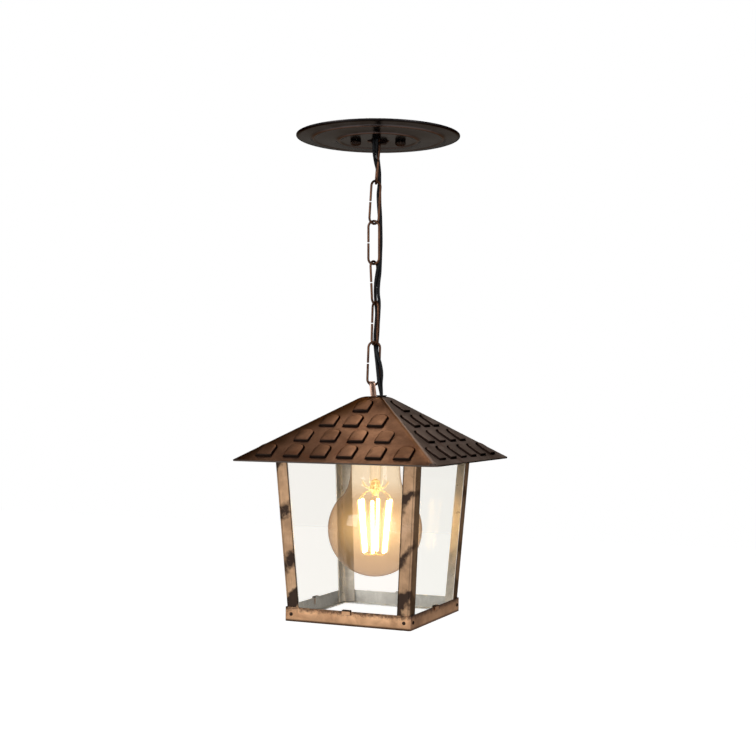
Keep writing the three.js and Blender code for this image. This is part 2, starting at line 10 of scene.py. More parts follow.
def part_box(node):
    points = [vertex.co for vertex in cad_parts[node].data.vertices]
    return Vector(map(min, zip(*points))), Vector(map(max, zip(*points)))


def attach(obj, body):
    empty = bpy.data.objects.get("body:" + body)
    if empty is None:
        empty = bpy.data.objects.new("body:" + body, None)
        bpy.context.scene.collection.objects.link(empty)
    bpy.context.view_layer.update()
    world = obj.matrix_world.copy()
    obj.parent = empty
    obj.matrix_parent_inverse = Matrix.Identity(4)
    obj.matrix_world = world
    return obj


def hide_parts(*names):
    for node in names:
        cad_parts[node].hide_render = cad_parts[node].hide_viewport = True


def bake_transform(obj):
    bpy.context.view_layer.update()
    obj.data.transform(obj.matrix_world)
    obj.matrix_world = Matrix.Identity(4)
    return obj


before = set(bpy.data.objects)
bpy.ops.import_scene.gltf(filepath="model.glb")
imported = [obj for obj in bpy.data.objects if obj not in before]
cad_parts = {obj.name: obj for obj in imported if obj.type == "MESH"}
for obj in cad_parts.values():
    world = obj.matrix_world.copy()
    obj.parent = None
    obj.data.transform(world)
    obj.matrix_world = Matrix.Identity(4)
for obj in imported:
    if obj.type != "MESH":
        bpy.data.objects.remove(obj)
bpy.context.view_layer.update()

MM = 0.001
CORNERS = ("front_left", "front_right", "back_right", "back_left")
SIDES = ("front", "right", "back", "left")
HANG_TURN = math.radians(23.7)  # canopy, chain and strap are turned this far about Z
HANGER = Matrix.Rotation(HANG_TURN, 4, "Z")
rng = random.Random(7)


# Camera, floor and light

CAMERA = {
    "turn": math.radians(23.72), "pitch": math.radians(0.90), "roll": math.radians(0.46),
    "distance": 0.98615, "aside": 0.00136, "height": -0.20035, "sensor": 36, "lens": 61.73,
}


def add_camera():
    c = CAMERA
    data = bpy.data.cameras.new("camera")
    data.sensor_width = c["sensor"]
    data.lens = c["lens"]
    camera = bpy.data.objects.new("camera", data)
    turned = Matrix.Rotation(c["turn"], 4, "Z")
    place = turned @ Vector((c["aside"], -c["distance"], c["height"]))
    camera.matrix_world = (Matrix.Translation(place) @ turned
                           @ Matrix.Rotation(math.pi / 2 + c["pitch"], 4, "X")
                           @ Matrix.Rotation(c["roll"], 4, "Z"))
    bpy.context.scene.collection.objects.link(camera)
    bpy.context.scene.camera = camera


def add_area_light(name, place, target, size, power, colour=(1, 1, 1)):
    """A soft box that faces its target and isn't seen itself."""
    data = bpy.data.lights.new(name, "AREA")
    data.shape = "RECTANGLE"
    data.size, data.size_y = size
    data.energy = power
    data.color = colour
    light = bpy.data.objects.new(name, data)
    light.location = place
    light.rotation_euler = (Vector(target) - Vector(place)).to_track_quat("-Z", "Y").to_euler()
    light.visible_camera = False
    bpy.context.scene.collection.objects.link(light)


def add_world():
    """White to the camera; as a light it is bright in front, dimmer around and dark at the back."""
    world = bpy.data.worlds.new("studio")
    build = Builder(world, "ShaderNodeOutputWorld")
    towards_front = build.vector("DOT_PRODUCT", build.coords("Generated"), (0.40, -0.916, 0.0))
    grey = build.ramp(build.spread(towards_front, -1, 1),
                      [(0.1, (0.13,) * 3), (0.5, (0.50,) * 3), (0.85, (0.95,) * 3)])
    around = build.node("ShaderNodeBackground", {"Color": grey})
    seen = build.node("ShaderNodeBackground", {"Color": (1, 1, 1, 1)})
    build.finish(build.node("ShaderNodeMixShader", {
        0: build.camera_ray(), 1: around.outputs[0], 2: seen.outputs[0],
    }))
    bpy.context.scene.world = world


def add_floor():
    """A white floor far below, which glows a little where the camera sees it."""
    build = new_material("floor_paint")
    glow = build.node("ShaderNodeEmission", {
        "Color": (1, 1, 1, 1), "Strength": build.spread(build.camera_ray(), 0, 1, 0.04, 0.58),
    })
    paint = build.node("ShaderNodeBsdfDiffuse", {"Color": (0.86, 0.86, 0.86, 1)})
    material = build.finish(build.node("ShaderNodeAddShader", {0: glow.outputs[0], 1: paint.outputs[0]}))
    reach = 9.0
    height = -1.3
    corners = ((-1, -1), (1, -1), (1, 1), (-1, 1))
    mesh = bpy.data.meshes.new("floor")
    mesh.from_pydata([(x * reach, y * reach, height) for x, y in corners], [], [(0, 1, 2, 3)])
    mesh.materials.append(material)
    floor = bpy.data.objects.new("floor", mesh)
    bpy.context.scene.collection.objects.link(floor)


# Material building

class Builder:
    """The node tree of a material or world, built one step at a time."""

    def __init__(self, owner, output):
        self.owner = owner
        owner.use_nodes = True
        self.tree = owner.node_tree
        self.tree.nodes.clear()
        self.output = self.tree.nodes.new(output)

    def node(self, kind, inputs=None, **settings):
        """A node of a kind, its inputs set to values or linked to other nodes' outputs."""
        made = self.tree.nodes.new(kind)
        for key, value in settings.items():
            setattr(made, key, value)
        for key, value in (inputs or {}).items():
            self.feed(made.inputs[key], value)
        return made

    def feed(self, socket, value):
        if isinstance(value, bpy.types.NodeSocket):
            self.tree.links.new(value, socket)
        else:
            socket.default_value = value

    def camera_ray(self):
        return self.node("ShaderNodeLightPath").outputs["Is Camera Ray"]

    def coords(self, kind="Object"):
        return self.node("ShaderNodeTexCoord").outputs[kind]

    def along(self, axis, kind="Object"):
        """The place along an axis or, for the kind Normal, how far the surface faces that way."""
        return self.node("ShaderNodeSeparateXYZ", {0: self.coords(kind)}).outputs[axis]

    def shade_and_grime(self):
        """The painted shade and grime that a piece's points carry, from 0 to 1."""
        return self.node("ShaderNodeAttribute", attribute_name="shade_and_grime").outputs["Fac"]

    def stretched(self, scale):
        return self.node("ShaderNodeMapping", {"Vector": self.coords(), "Scale": scale}).outputs[0]

    def noise(self, scale, detail=4, rough=0.55, distortion=0.0, coords=None):
        made = self.node("ShaderNodeTexNoise", {
            "Vector": coords or self.coords(), "Scale": scale, "Detail": detail,
            "Roughness": rough, "Distortion": distortion,
        })
        return made.outputs["Fac"]

    def math(self, operation, first, second=0.0):
        return self.node("ShaderNodeMath", {0: first, 1: second}, operation=operation).outputs[0]

    def vector(self, operation, first, second=(0, 0, 0)):
        made = self.node("ShaderNodeVectorMath", {0: first, 1: second}, operation=operation)
        return made.outputs["Value" if operation in ("DISTANCE", "DOT_PRODUCT", "LENGTH") else "Vector"]

    def spread(self, value, low, high, to_low=0.0, to_high=1.0):
        """A value's range from low to high, laid over another range and held at its ends."""
        made = self.node("ShaderNodeMapRange", {
            "Value": value, "From Min": low, "From Max": high, "To Min": to_low, "To Max": to_high,
        })
        return made.outputs["Result"]

    def mix(self, share, first, second):
        made = self.node("ShaderNodeMix", {0: share, 6: opaque(first), 7: opaque(second)},
                         data_type="RGBA")
        return made.outputs[2]

    def ramp(self, value, stops):
        made = self.node("ShaderNodeValToRGB", {"Fac": value})
        points = made.color_ramp.elements
        while len(points) < len(stops):
            points.new(0.5)
        for point, (place, colour) in zip(points, stops):
            point.position = place
            point.color = opaque(colour)
        return made.outputs["Color"]

    def bump(self, height, strength, distance):
        made = self.node("ShaderNodeBump", {"Height": height, "Strength": strength, "Distance": distance})
        return made.outputs[0]

    def crevice(self, distance):
        """1 in a crevice of this piece, 0 in the open."""
        made = self.node("ShaderNodeAmbientOcclusion", {"Distance": distance}, samples=8, only_local=True)
        return self.math("SUBTRACT", 1.0, made.outputs["AO"])

    def facing(self):
        return self.node("ShaderNodeLayerWeight", {"Blend": 0.5}).outputs["Facing"]

    def edge_on(self, power):
        """0 where the surface is seen square on, 1 where it is seen edge on."""
        return self.math("POWER", self.facing(), power)

    def square_on(self, power):
        """1 where the surface is seen square on, 0 where it is seen edge on."""
        return self.math("POWER", self.math("SUBTRACT", 1.0, self.facing()), power)

    def faces_out(self, direction):
        """1 where the surface faces away from the lantern's axis, or upwards, and 0 on its back."""
        away = (0, 0, 1)
        if direction == "radial":
            away = self.vector("MULTIPLY", self.coords(), (1, 1, 0))
        return self.math("GREATER_THAN", self.vector("DOT_PRODUCT", self.coords("Normal"), away), -0.002)

    def surface(self, **inputs):
        """The finished material, from the principled shader's inputs: Base_Color for Base Color."""
        named = {key.replace("_", " "): value for key, value in inputs.items()}
        return self.finish(self.node("ShaderNodeBsdfPrincipled", named))

    def finish(self, shader):
        self.tree.links.new(shader.outputs[0], self.output.inputs["Surface"])
        return self.owner


def new_material(name):
    return Builder(bpy.data.materials.new(name), "ShaderNodeOutputMaterial")


def opaque(colour):
    """A plain colour with its alpha added; a socket passes through."""
    if isinstance(colour, tuple) and len(colour) == 3:
        return (*colour, 1)
    return colour


# Materials

ZINC_LIGHT = (0.75, 0.73, 0.685)
ZINC_DARK = (0.50, 0.49, 0.46)


def zinc_colour(build, cast):
    """Grey spangled zinc, its tone multiplied by a cast."""
    spangle = build.noise(160, 5, 0.65, 0.6)
    tones = [tuple(c * k for c, k in zip(tone, cast)) for tone in (ZINC_DARK, ZINC_LIGHT)]
    return build.ramp(spangle, [(0.3, tones[0]), (0.72, tones[1])])


def lined_copper(build, tone, cast, rough, relief):
    """The finished sheet: a copper tone outside and zinc inside."""
    outside = build.faces_out("radial")
    return build.surface(
        Base_Color=build.mix(outside, zinc_colour(build, cast), tone),
        Metallic=build.spread(outside, 0, 1, 0.45, 1.0), Specular_Tint=(0.7, 0.6, 0.5, 1),
        Roughness=build.spread(build.noise(120, 4), 0.3, 0.75, *rough), Normal=relief,
    )


def roof_copper():
    """Antiqued copper: warm blotches, darker towards the top, dark hips partly painted shade and partly
    patina, painted shade round the tiles and in crevices, a painted grey reflection on the right side, a
    dull back.
    """
    build = new_material("roof_copper")
    cloud = build.noise(24, 5, 0.6, 0.8)
    tone = build.ramp(cloud, [(0.28, (0.10, 0.050, 0.032)), (0.46, (0.20, 0.104, 0.064)),
                              (0.62, (0.29, 0.150, 0.088)), (0.8, (0.37, 0.190, 0.108))])
    x, y, z = (build.along(axis) for axis in "XYZ")
    dark_brown = (0.075, 0.040, 0.028)
    black = (0.014, 0.008, 0.006)
    reflected_grey = (0.42, 0.34, 0.30)
    rusty = (0.150, 0.048, 0.022)
    dull_back = (0.11, 0.088, 0.075)
    # a warm lighter patch low on the front, duller towards the top and the far ends
    patch = build.vector("DISTANCE", build.coords(), (0.024, -0.062, -0.233))
    tone = build.mix(build.spread(patch, 0.018, 0.075, 0.0, 0.62), tone, dark_brown)
    wobble = build.spread(build.noise(60, 4, 0.6), 0.2, 0.8, -0.005, 0.005)
    level = build.math("ADD", z, wobble)
    tone = build.mix(build.spread(level, -0.225, -0.203, 0, 0.62), tone, dark_brown)
    # hips: a wide dark band on two of them and a fine dark line on the others, partly painted shade along
    # the folds and partly dark patina
    gap = build.math("ABSOLUTE", build.math("SUBTRACT", build.math("ABSOLUTE", x),
                                            build.math("ABSOLUTE", y)))
    same_sign = build.math("GREATER_THAN", build.math("MULTIPLY", x, y), 0.0)
    wide = build.spread(build.math("ADD", gap, wobble), 0.005, 0.022, 0.9, 0)
    fine = build.spread(gap, 0.0012, 0.0034, 0.85, 0)
    hip = build.math("MAXIMUM", build.math("MULTIPLY", wide, same_sign), fine)
    tone = build.mix(hip, tone, (0.020, 0.011, 0.008))
    # the right side is painted greyer: a painted reflection on faces turned to the right
    right_side_reflection = build.spread(build.along("X", "Normal"), 0.2, 0.5, 0, 0.65)
    tone = build.mix(right_side_reflection, tone, reflected_grey)
    rust = build.spread(build.noise(17, 6, 0.7, 1.6), 0.58, 0.68)
    tone = build.mix(build.math("MULTIPLY", rust, 0.45), tone, rusty)
    speckle = build.spread(build.noise(420, 3, 0.7), 0.4, 0.72)
    tone = build.mix(build.math("MULTIPLY", speckle, 0.25), tone, dark_brown)
    # painted shade: dark edges round the tiles, in crevices and on whatever stands upright; in the crevices
    # it stands for dark patina too
    shade_and_grime = build.shade_and_grime()
    shade = build.math("MAXIMUM", shade_and_grime, build.spread(build.crevice(0.003), 0.2, 0.55))
    shade = build.math("MAXIMUM", shade, build.spread(build.along("Z", "Normal"), 0.45, 0.72, 0.9, 0))
    tone = build.mix(shade, tone, black)
    tone = build.mix(build.faces_out("up"), dull_back, tone)
    # the painted shade on the tile walls goes over the dull back as well
    tone = build.mix(shade_and_grime, tone, black)
    rough = build.spread(build.noise(60, 5, 0.6), 0.3, 0.75, 0.30, 0.46)
    dents = build.bump(build.noise(45, 3, 0.5), 0.35, 0.0007)
    grain = build.node("ShaderNodeBump", {"Height": build.noise(900, 2), "Strength": 0.16,
                                          "Distance": 0.0003, "Normal": dents}).outputs[0]
    # the shine is dimmed where the painted shade lies
    edge_tint = build.mix(shade, (0.5, 0.42, 0.36), (0.03, 0.02, 0.015))
    return build.surface(Base_Color=tone, Metallic=1.0, Roughness=rough, Normal=grain,
                         Specular_Tint=edge_tint)


def frame_copper():
    """Brushed copper outside, with dark slanting torch marks, dark edges, and painted shade beside the
    folds, on faces turned to the right and under the eave; grey zinc inside.
    """
    build = new_material("frame_copper")
    band = build.node("ShaderNodeTexWave", {
        "Vector": build.stretched((-1.1, 1.1, 1.0)), "Scale": 19, "Distortion": 4.5, "Detail": 4,
        "Detail Scale": 1.4, "Detail Roughness": 0.6, "Phase Offset": 1.0,
    }, wave_type="BANDS", bands_direction="DIAGONAL", wave_profile="SIN").outputs["Fac"]
    blotch = build.spread(build.noise(75, 5, 0.7), 0.3, 0.7, -0.24, 0.20)
    height = build.along("Z")
    # the marks grow near the posts' foot and a little near their top, where they are painted shade under the
    # eave
    ends = build.math("MAXIMUM", build.spread(height, -0.354, -0.324, 0.42, 0),
                      build.spread(height, -0.266, -0.250, 0, 0.12))
    torch = build.spread(build.math("ADD", build.math("ADD", band, blotch), ends), 0.74, 1.0)
    light = build.ramp(build.noise(70, 4, 0.6, 0.3),
                       [(0.25, (0.38, 0.225, 0.13)), (0.55, (0.62, 0.385, 0.225)),
                        (0.8, (0.84, 0.55, 0.35))])
    tone = build.mix(torch, light, (0.062, 0.040, 0.030))
    # painted shade on faces turned to the right
    tone = build.mix(build.spread(build.along("X", "Normal"), 0.5, 0.9, 0, 0.7), tone, (0.060, 0.034, 0.024))
    streak = build.noise(30, 3, 0.6, 0, build.stretched((60, 60, 1.5)))
    tone = build.mix(build.spread(streak, 0.55, 0.8, 0, 0.45), tone, (0.09, 0.052, 0.036))
    # dark free edges of the posts and a painted shade line beside each fold
    tone = build.mix(build.shade_and_grime(), tone, (0.022, 0.014, 0.011))
    relief = build.bump(build.noise(25, 4, 0.6, 0, build.stretched((40, 40, 6))), 0.22, 0.0004)
    return lined_copper(build, tone, (1, 1, 1), (0.26, 0.42), relief)


def base_copper(name, edges=False, crest=False):
    """Pink copper outside, zinc inside; with a sooty top edge and a painted shade line along the bottom of
    the band, or dark above the band's top; faces turned to the right are painted darker.
    """
    build = new_material(name)
    low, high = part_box("base_frame")
    height = build.along("Z")
    tone = build.ramp(build.noise(48, 5, 0.65, 0.5),
                      [(0.28, (0.28, 0.148, 0.082)), (0.47, (0.58, 0.325, 0.178)),
                       (0.72, (0.92, 0.55, 0.31))])
    if edges:
        wobble = build.spread(build.noise(260, 6, 0.75), 0.25, 0.75, -0.0030, 0.0022)
        level = build.spread(build.math("ADD", height, wobble), low.z, high.z)
        # painted shade: a dark line along the band's rounded bottom edge
        bottom_shade_line = build.spread(height, low.z + 0.0010, low.z + 0.0021, 0.92, 0)
        soot = build.ramp(level, [(0.0, (0, 0, 0)), (0.62, (0, 0, 0)), (0.84, (0.8, 0.8, 0.8)),
                                  (1.0, (1, 1, 1))])
        tone = build.mix(build.math("MAXIMUM", soot, bottom_shade_line), tone, (0.034, 0.020, 0.015))
    if crest:
        above = build.spread(height, high.z - 0.0002, high.z + 0.0002)
        tone = build.mix(above, tone, (0.02, 0.014, 0.011))
    # painted shade: faces turned to the right take a darker tone
    tone = build.mix(build.spread(build.along("X", "Normal"), 0.5, 0.9, 0, 0.4), tone, (0.26, 0.150, 0.125))
    relief = build.bump(build.noise(60, 4), 0.25, 0.0004)
    return lined_copper(build, tone, (0.86, 0.93, 1.02), (0.28, 0.44), relief)


def worn_metal(name, dark, light, rough, scale, glow=None):
    """A metal whose colour drifts between two tones, with fine scratches; it may be given a painted glow."""
    build = new_material(name)
    cloud = build.noise(scale, 5, 0.62, 0.4)
    tone = build.ramp(cloud, [(0.3, dark), (0.7, light)])
    scratch = build.noise(scale * 20, 2)
    tone = build.mix(build.spread(scratch, 0.55, 0.75, 0, 0.3), tone, dark)
    return build.surface(
        Base_Color=tone, Metallic=1.0, Roughness=build.spread(cloud, 0.25, 0.75, *rough),
        Normal=build.bump(scratch, 0.15, 0.0002), Specular_Tint=(0.45, 0.38, 0.33, 1),
        Emission_Color=opaque(glow or (1, 1, 1)), Emission_Strength=1.0 if glow else 0.0,
    )


def brushed_copper():
    """The strap: bright pink copper with dark brushed streaks down its length."""
    build = new_material("strap_copper")
    streak = build.noise(40, 4, 0.7, 0, build.stretched((38, 38, 3)))
    tone = build.ramp(streak, [(0.38, (0.035, 0.021, 0.016)), (0.5, (0.22, 0.125, 0.092)),
                               (0.64, (0.62, 0.42, 0.325))])
    return build.surface(
        Base_Color=tone, Metallic=1.0, Roughness=build.spread(streak, 0.3, 0.7, 0.22, 0.38),
        Normal=build.bump(streak, 0.2, 0.0002), Specular_Tint=(0.5, 0.42, 0.38, 1),
    )


def bronze():
    """The canopy: glossy dark bronze, with a painted orange-brown glint on its pressed rings and round its
    hole, black at its rim.
    """
    build = new_material("canopy_bronze")
    reach = build.vector("LENGTH", build.vector("MULTIPLY", build.coords(), (1, 1, 0)))
    black = (0, 0, 0)
    white = (1, 1, 1)
    # painted glint on the pressed ridges and round the hole
    ring = build.ramp(build.spread(reach, 0.0, 0.0626), [
        (0.125, white), (0.15, black), (0.45, black), (0.484, white), (0.525, black), (0.765, black),
        (0.793, white), (0.83, black), (1.0, black),
    ])
    cloud = build.noise(55, 5, 0.6, 0.6)
    tone = build.ramp(cloud, [(0.3, (0.068, 0.065, 0.069)), (0.7, (0.102, 0.097, 0.101))])
    tone = build.mix(build.math("MULTIPLY", ring, 0.7), tone, (0.130, 0.058, 0.034))
    tone = build.mix(build.spread(reach, 0.0596, 0.0612, 0, 0.85), tone, (0.012, 0.010, 0.010))
    fine = build.noise(700, 3)
    return build.surface(
        Base_Color=tone, Metallic=1.0, Roughness=build.spread(cloud, 0.25, 0.75, 0.12, 0.24),
        Normal=build.bump(fine, 0.05, 0.0002), Specular_Tint=(0.4, 0.37, 0.34, 1),
    )


def plastic(name, colour, rough, scale, shift=0.25, shine=0.5):
    """Moulded plastic, rubber or ceramic with a slight mottle and a fine surface grain."""
    build = new_material(name)
    cloud = build.noise(scale, 4)
    darker = tuple(c * (1 - shift) for c in colour)
    tone = build.ramp(cloud, [(0.3, darker), (0.7, colour)])
    return build.surface(
        Base_Color=tone, Roughness=build.spread(cloud, 0.3, 0.7, rough * 0.8, rough * 1.2),
        Normal=build.bump(build.noise(scale * 5, 2), 0.05, 0.0002), Specular_IOR_Level=shine,
    )


def see_through(build, tint, shine, rough, haze):
    """A clear surface with a shine that grows where it is seen edge on, and the light it scatters."""
    smear = build.spread(build.noise(30, 4, 0.6), 0.3, 0.8, rough, rough * 2.5)
    clear = build.node("ShaderNodeBsdfTransparent", {"Color": tint})
    gloss = build.node("ShaderNodeBsdfGlossy", {"Color": (1, 1, 1, 1), "Roughness": smear})
    share = build.spread(build.edge_on(5.0), 0, 1, 0.04 * shine, 0.7 * shine)
    shader = build.node("ShaderNodeMixShader", {0: share, 1: clear.outputs[0], 2: gloss.outputs[0]})
    lit = build.node("ShaderNodeEmission", {"Color": opaque(haze), "Strength": 1.0})
    return build.node("ShaderNodeAddShader", {0: shader.outputs[0], 1: lit.outputs[0]})


def thin_glass(name, face_tint, edge_tint, shine, rough, haze=(0, 0, 0)):
    """Clear glass with a tint that deepens where it is seen edge on."""
    build = new_material(name)
    tint = build.mix(build.edge_on(3.0), face_tint, edge_tint)
    return build.finish(see_through(build, tint, shine, rough, haze))


LIT_MIDDLE = -0.297  # the height of the lit sticks' middle, in metres


def amber_glass():
    """The envelope: tan glass, paler in the neck, with a glow of scattered light round the lit sticks."""
    build = new_material("amber_glass")
    height = build.along("Z")
    tint = build.mix(build.spread(height, -0.282, -0.264), (0.685, 0.560, 0.445), (0.86, 0.80, 0.70))
    tint = build.mix(build.edge_on(5.5), tint, (0.20, 0.075, 0.03))
    level = build.math("ABSOLUTE", build.math("SUBTRACT", height, LIT_MIDDLE))
    near = build.spread(level, 0.004, 0.030, 1, 0)
    share = build.math("MULTIPLY", near, build.square_on(3.6))
    haze = build.mix(share, (0.110, 0.072, 0.036), (0.57, 0.37, 0.145))
    return build.finish(see_through(build, tint, 0.8, 0.015, haze))


def gold_pinch():
    """The lit-up pinch of glass and wire at the stem's foot: a painted glow and painted glints for the light
    it catches from the sticks.
    """
    build = new_material("stem_pinch")
    lumps = build.noise(420, 3, 0.6, 1.2)
    light = build.ramp(lumps, [(0.36, (0.42, 0.22, 0.06)), (0.5, (0.95, 0.62, 0.22)),
                               (0.6, (2.2, 1.7, 0.9))])
    return build.surface(
        Base_Color=(0.5, 0.36, 0.18, 1), Metallic=0.3, Roughness=0.2,
        Normal=build.bump(lumps, 0.6, 0.0006), Emission_Color=light, Emission_Strength=1.0,
    )


def glow_coat():
    """The clear silicone round a lit stick, brightest where it is seen thickest."""
    build = new_material("glow_coat")
    mottle = build.spread(build.noise(700, 2), 0.3, 0.7, 0.8, 1.1)
    strength = build.math("MULTIPLY", build.square_on(2.0), mottle)
    light = build.node("ShaderNodeEmission", {"Color": (1.0, 0.66, 0.26, 1), "Strength": strength})
    clear = build.node("ShaderNodeBsdfTransparent", {"Color": (1, 1, 1, 1)})
    return build.finish(build.node("ShaderNodeAddShader", {0: clear.outputs[0], 1: light.outputs[0]}))


def glowing(name, colour, strength):
    """A lit surface whose own colour has a fine grain."""
    build = new_material(name)
    grain = build.ramp(build.noise(900, 2), [(0.3, tuple(c * 0.85 for c in colour)), (0.7, colour)])
    return build.surface(Base_Color=grain, Roughness=0.5, Emission_Color=opaque(colour),
                         Emission_Strength=strength)


# Mesh building, in millimetres

def make_piece(name, shape, material, body, place=Matrix(), nodes=(), sharp=38, shade_and_grime=None):
    """One visible piece from (points, faces) in millimetres, standing for CAD nodes.

    It rides on a body, or on none. Edges over sharp degrees stay crisp.
    """
    points, faces = shape
    to_metres = place @ Matrix.Scale(MM, 4)
    mesh = bpy.data.meshes.new(name)
    mesh.from_pydata([to_metres @ Vector(p) for p in points], [], faces)
    tidy = bmesh.new()
    tidy.from_mesh(mesh)
    bmesh.ops.recalc_face_normals(tidy, faces=tidy.faces)
    tidy.to_mesh(mesh)
    tidy.free()
    if shade_and_grime:
        mesh.attributes.new("shade_and_grime", "FLOAT", "POINT").data.foreach_set("value", shade_and_grime)
    mesh.materials.append(material)
    mesh.polygons.foreach_set("use_smooth", [True] * len(mesh.polygons))
    mesh.set_sharp_from_angle(angle=math.radians(sharp))
    piece = bpy.data.objects.new(name, mesh)
    bpy.context.scene.collection.objects.link(piece)
    if body:
        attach(piece, body)
    if nodes:
        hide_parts(*nodes)
    return piece


def quarter(side):
    """The turn that takes the front side to each side of SIDES, by its number."""
    return Matrix.Rotation(side * math.pi / 2, 4, "Z")


def placed(x=0.0, y=0.0, z=0.0):
    """A shift given in millimetres."""
    return Matrix.Translation(Vector((x, y, z)) * MM)


def joined(shapes):
    points, faces = [], []
    for more_points, more_faces in shapes:
        start = len(points)
        points += more_points
        faces += [[start + i for i in face] for face in more_faces]
    return points, faces


def moved(shape, matrix):
    return [matrix @ Vector(p) for p in shape[0]], shape[1]


def filleted(points, radius, steps=4, closed=False):
    """An outline with each corner rounded, as far as its neighbours leave room."""
    out = []
    count = len(points)
    for i, here in enumerate(points):
        if not closed and i in (0, count - 1):
            out.append(tuple(here))
            continue
        here = Vector(here)
        before = Vector(points[i - 1]) - here
        after = Vector(points[(i + 1) % count]) - here
        reach = min(radius, before.length * 0.48, after.length * 0.48)
        start = here + before.normalized() * reach
        end = here + after.normalized() * reach
        for k in range(steps + 1):
            t = k / steps
            out.append(tuple(start * (1 - t) ** 2 + here * 2 * t * (1 - t) + end * t ** 2))
    return out


def between_rings(rings, closed_row=False, caps=True):
    """Faces through rows of rings with the same number of points."""
    sides = len(rings[0])
    points = [p for ring in rings for p in ring]
    faces = []
    rows = len(rings) if closed_row else len(rings) - 1
    for r in range(rows):
        here = r * sides
        there = ((r + 1) % len(rings)) * sides
        for k in range(sides):
            nxt = (k + 1) % sides
            faces.append([here + k, here + nxt, there + nxt, there + k])
    if caps and not closed_row:
        faces.append(list(range(sides)))
        faces.append([rows * sides + k for k in range(sides)])
    return points, faces


def unit_circle(segments):
    return [(math.cos(2 * math.pi * k / segments), math.sin(2 * math.pi * k / segments))
            for k in range(segments)]


def lathe(profile, segments=64):
    """A closed turned body: a profile that starts and ends on the axis, or closes on itself."""
    solid = profile[0][0] < 1e-6
    inner = profile[1:-1] if solid else profile
    rings = [[(r * x, r * y, z) for x, y in unit_circle(segments)] for r, z in inner]
    points, faces = between_rings(rings, closed_row=not solid, caps=False)
    if solid:
        for ring, z in ((0, profile[0][1]), (len(rings) - 1, profile[-1][1])):
            points.append((0, 0, z))
            start = ring * segments
            faces += [[start + k, start + (k + 1) % segments, len(points) - 1] for k in range(segments)]
    return points, faces


def swept(path, radius, sides=14, rounded_ends=True):
    """A round bar along a path, its section carried along without twisting."""
    path = [Vector(p) for p in path]
    last = len(path) - 1
    along = [(path[min(i + 1, last)] - path[max(i - 1, 0)]).normalized() for i in range(last + 1)]
    side = along[0].orthogonal().normalized()
    rings = []
    for here, ahead in zip(path, along):
        side = (side - ahead * side.dot(ahead)).normalized()
        rings.append(ring_round(here, side, ahead, radius, sides))
    if rounded_ends:
        tips = []
        for end, sign in ((0, -1), (-1, 1)):
            side = (rings[end][0] - path[end]).normalized()
            centre = path[end] + along[end] * sign * radius * 0.3
            tips.append(ring_round(centre, side, along[end], radius * 0.72, sides))
        rings = [tips[0], *rings, tips[1]]
    return between_rings(rings)


def ring_round(centre, side, ahead, radius, sides):
    up = ahead.cross(side)
    return [centre + radius * (side * x + up * y) for x, y in unit_circle(sides)]


def ribbon(outline, width):
    """A flat outline in the plane square to X, pushed along X to a width, with eased edges."""
    axis = Vector((1, 0, 0))
    ease = 0.12
    rings = []
    for offset, inset in ((-0.5, ease), (-0.5 + ease / width, 0), (0.5 - ease / width, 0), (0.5, ease)):
        ring = []
        for i, p in enumerate(outline):
            p = Vector(p)
            before = (p - Vector(outline[i - 1])).normalized()
            after = (Vector(outline[(i + 1) % len(outline)]) - p).normalized()
            inward = axis.cross(before + after).normalized()
            ring.append(p + inward * inset + axis * (width * offset))
        rings.append(ring)
    return between_rings(rings)


def catmull_rom(points, steps):
    """A centripetal curve through points, with its ends carried straight on."""
    points = [Vector(p) for p in points]
    line = [points[0] * 2 - points[1], *points, points[-1] * 2 - points[-2]]
    out = []
    for i in range(1, len(line) - 2):
        a, b, c, d = line[i - 1:i + 3]
        da, db, dc = ((q - p).length ** 0.5 for p, q in ((a, b), (b, c), (c, d)))
        start = ((b - a) / da - (c - a) / (da + db) + (c - b) / db) * db
        end = ((c - b) / db - (d - b) / (db + dc) + (d - c) / dc) * db
        for k in range(steps):
            t = k / steps
            out.append(b * (2 * t ** 3 - 3 * t ** 2 + 1) + c * (3 * t ** 2 - 2 * t ** 3)
                       + start * (t ** 3 - 2 * t ** 2 + t) + end * (t ** 3 - t ** 2))
    out.append(points[-1])
    return out


# Canopy group

ANCHOR = {"low": -5.85, "high": -1.8, "reach": 5.4, "bend": 1.6}
NUT_ASIDE = 17


def build_canopy(look):
    under = [(8, -3.75), (8.5, -4.1), (27.6, -4.0), (30.1, -4.75), (32.6, -3.6), (47.2, -2.95),
             (49.5, -3.55), (51.9, -2.3), (60.9, -1.7), (62.5, -1.1), (62.5, 0)]
    upper = [(61.7, 0), (61.2, -0.8), (51.4, -1.5), (49.6, -2.6), (47.4, -2.1), (32.2, -2.8),
             (30.2, -3.8), (28.2, -3.2), (8, -3.2)]
    profile = filleted(under + upper, 1.3, closed=True)
    make_piece("canopy_disc", lathe(profile, 144), look["bronze"], "canopy", HANGER,
               ["canopy_plate"])
    for side, word in ((-1, "left"), (1, "right")):
        make_piece(f"thumb_nut_{word}", thumb_nut(), look["nut"], "canopy",
                   HANGER @ placed(NUT_ASIDE * side), [f"canopy_nut_{word}"])
    a = ANCHOR
    left = CONTACT_X[0] - a["reach"]
    right = CONTACT_X[0] + a["reach"]
    corners = [(left, 0, a["high"]), (left, 0, a["low"]), (right, 0, a["low"]), (right, 0, a["high"])]
    staple = swept(filleted(corners, a["bend"], 8), WIRE, 16, rounded_ends=False)
    make_piece("anchor_wire", staple, look["nut"], "canopy", HANGER, ["chain_anchor"])


